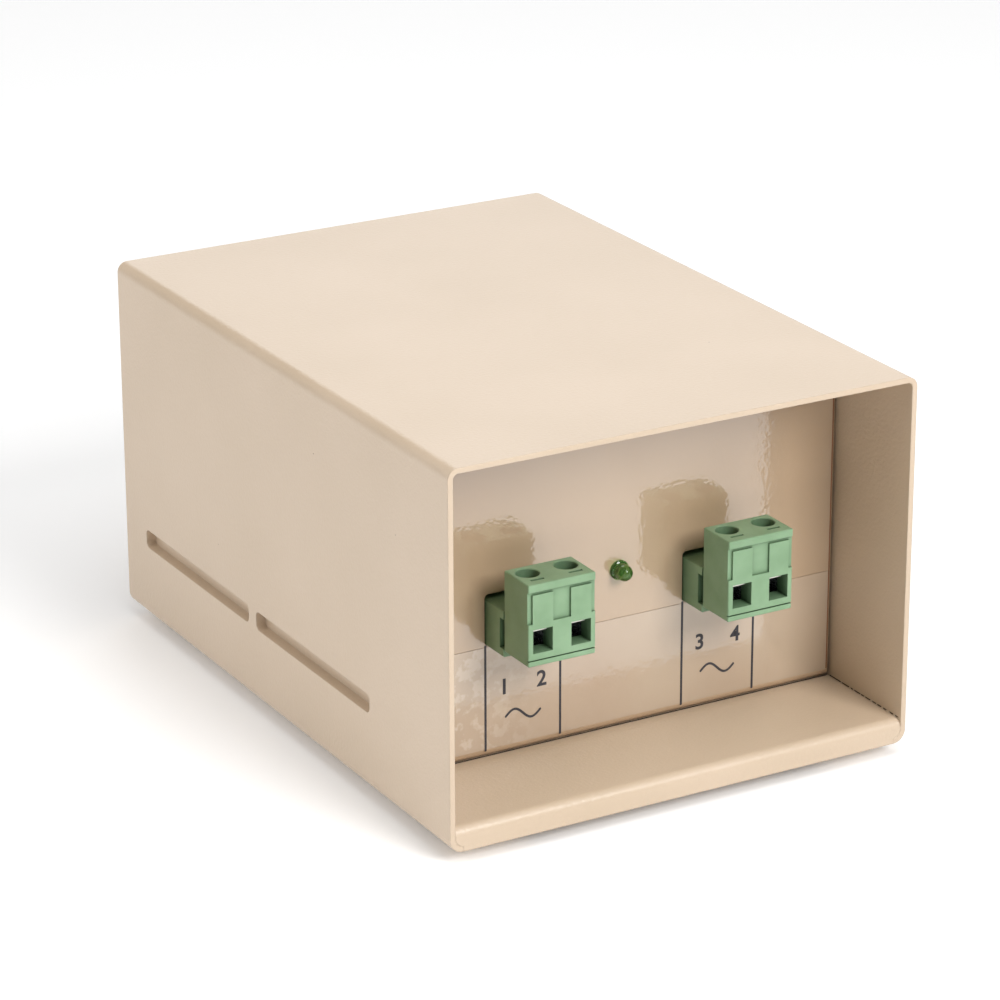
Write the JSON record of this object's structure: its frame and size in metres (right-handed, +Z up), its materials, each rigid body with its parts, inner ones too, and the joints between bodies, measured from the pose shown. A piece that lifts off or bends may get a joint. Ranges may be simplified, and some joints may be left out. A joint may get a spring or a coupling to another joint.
{
  "type": "outdoor power supply",
  "caption": "Flat-topped folded metal case with a recessed front panel that holds pluggable green screw terminals and a small indicator; a transformer and board are inside.",
  "frame": {"origin": "middle of the footprint, on the surface that the feet rest on", "axes": "+X to the right seen from the front, +Y from the front to the back, +Z up"},
  "size_m": [0.094, 0.13, 0.0725],
  "materials": {
    "beige_coated_sheet": "satin",
    "clear_film": "gloss",
    "green_moulding": "satin",
    "green_lens": "gloss",
    "tinned_copper": "satin",
    "zinc_plated_steel": "satin",
    "rubber": "matte",
    "glass_fibre_board": "satin",
    "fuse_glass": "clear",
    "blue_coating": "satin",
    "yellow_coating": "satin",
    "resistor_enamel": "satin",
    "black_epoxy": "satin",
    "silicon_steel": "matte",
    "nylon": "satin",
    "enamelled_copper": "gloss",
    "polyester_tape": "gloss",
    "red_insulation": "satin",
    "black_insulation": "satin"
  },
  "bodies": {
    "case": {"outer_cover": "beige_coated_sheet", "base_pan": "beige_coated_sheet", "inner_chassis": "beige_coated_sheet", "film_upper": "clear_film", "film_lower": "clear_film", "rubber_feet": "rubber", "case_screws": "zinc_plated_steel", "case_nuts": "zinc_plated_steel", "circuit_board": "glass_fibre_board", "board_standoffs": "zinc_plated_steel", "board_screws": "zinc_plated_steel", "led_lens": "green_lens", "led_leads": "tinned_copper", "fuse_glass": "fuse_glass", "fuse_caps": "tinned_copper", "fuse_clips": "tinned_copper", "varistor": "blue_coating", "resettable_fuse": "yellow_coating", "led_resistor": "resistor_enamel", "blocking_diode": "black_epoxy", "core_e_laminations": "silicon_steel", "core_i_laminations": "silicon_steel", "bobbin": "nylon", "primary_winding": "enamelled_copper", "secondary_winding": "enamelled_copper", "winding_tape": "polyester_tape", "transformer_frame": "zinc_plated_steel", "transformer_studs": "zinc_plated_steel", "transformer_nuts": "zinc_plated_steel", "primary_leads": "black_insulation", "secondary_leads": "red_insulation", "header_output": "green_moulding", "header_pins_output": "tinned_copper", "header_input": "green_moulding", "header_pins_input": "tinned_copper"},
    "plug_output": {"plug_housing_output": "green_moulding", "contacts_output": "tinned_copper"},
    "clamp_screw_output_left": {"clamp_screw_output_left": "zinc_plated_steel"},
    "clamp_cage_output_left": {"clamp_cage_output_left": "zinc_plated_steel"},
    "clamp_screw_output_right": {"clamp_screw_output_right": "zinc_plated_steel"},
    "clamp_cage_output_right": {"clamp_cage_output_right": "zinc_plated_steel"},
    "plug_input": {"plug_housing_input": "green_moulding", "contacts_input": "tinned_copper"},
    "clamp_screw_input_left": {"clamp_screw_input_left": "zinc_plated_steel"},
    "clamp_cage_input_left": {"clamp_cage_input_left": "zinc_plated_steel"},
    "clamp_screw_input_right": {"clamp_screw_input_right": "zinc_plated_steel"},
    "clamp_cage_input_right": {"clamp_cage_input_right": "zinc_plated_steel"}
  },
  "joints": [
    {"name": "plug_output_pull", "type": "slide", "parent": "case", "child": "plug_output", "axis": [0, -1, 0], "range_m": [0, 0.012]},
    {"name": "clamp_screw_output_left_turn", "type": "hinge", "parent": "plug_output", "child": "clamp_screw_output_left", "pos_m": [-0.02413, -0.0516, 0.0405], "axis": [0, 0, -1], "range_deg": [0, 2448]},
    {"name": "clamp_cage_output_left_rise", "type": "slide", "parent": "plug_output", "child": "clamp_cage_output_left", "axis": [0, 0, 1], "range_m": [0, 0.0034]},
    {"name": "clamp_screw_output_right_turn", "type": "hinge", "parent": "plug_output", "child": "clamp_screw_output_right", "pos_m": [-0.01651, -0.0516, 0.0405], "axis": [0, 0, -1], "range_deg": [0, 2448]},
    {"name": "clamp_cage_output_right_rise", "type": "slide", "parent": "plug_output", "child": "clamp_cage_output_right", "axis": [0, 0, 1], "range_m": [0, 0.0034]},
    {"name": "plug_input_pull", "type": "slide", "parent": "case", "child": "plug_input", "axis": [0, -1, 0], "range_m": [0, 0.012]},
    {"name": "clamp_screw_input_left_turn", "type": "hinge", "parent": "plug_input", "child": "clamp_screw_input_left", "pos_m": [0.01651, -0.0516, 0.0405], "axis": [0, 0, -1], "range_deg": [0, 2448]},
    {"name": "clamp_cage_input_left_rise", "type": "slide", "parent": "plug_input", "child": "clamp_cage_input_left", "axis": [0, 0, 1], "range_m": [0, 0.0034]},
    {"name": "clamp_screw_input_right_turn", "type": "hinge", "parent": "plug_input", "child": "clamp_screw_input_right", "pos_m": [0.02413, -0.0516, 0.0405], "axis": [0, 0, -1], "range_deg": [0, 2448]},
    {"name": "clamp_cage_input_right_rise", "type": "slide", "parent": "plug_input", "child": "clamp_cage_input_right", "axis": [0, 0, 1], "range_m": [0, 0.0034]}
  ],
  "couplings": [
    {"joint": "clamp_screw_output_left_turn", "follows": "clamp_cage_output_left_rise", "rad_per_m": 12566},
    {"joint": "clamp_screw_output_right_turn", "follows": "clamp_cage_output_right_rise", "rad_per_m": 12566},
    {"joint": "clamp_screw_input_left_turn", "follows": "clamp_cage_input_left_rise", "rad_per_m": 12566},
    {"joint": "clamp_screw_input_right_turn", "follows": "clamp_cage_input_right_rise", "rad_per_m": 12566}
  ]
}
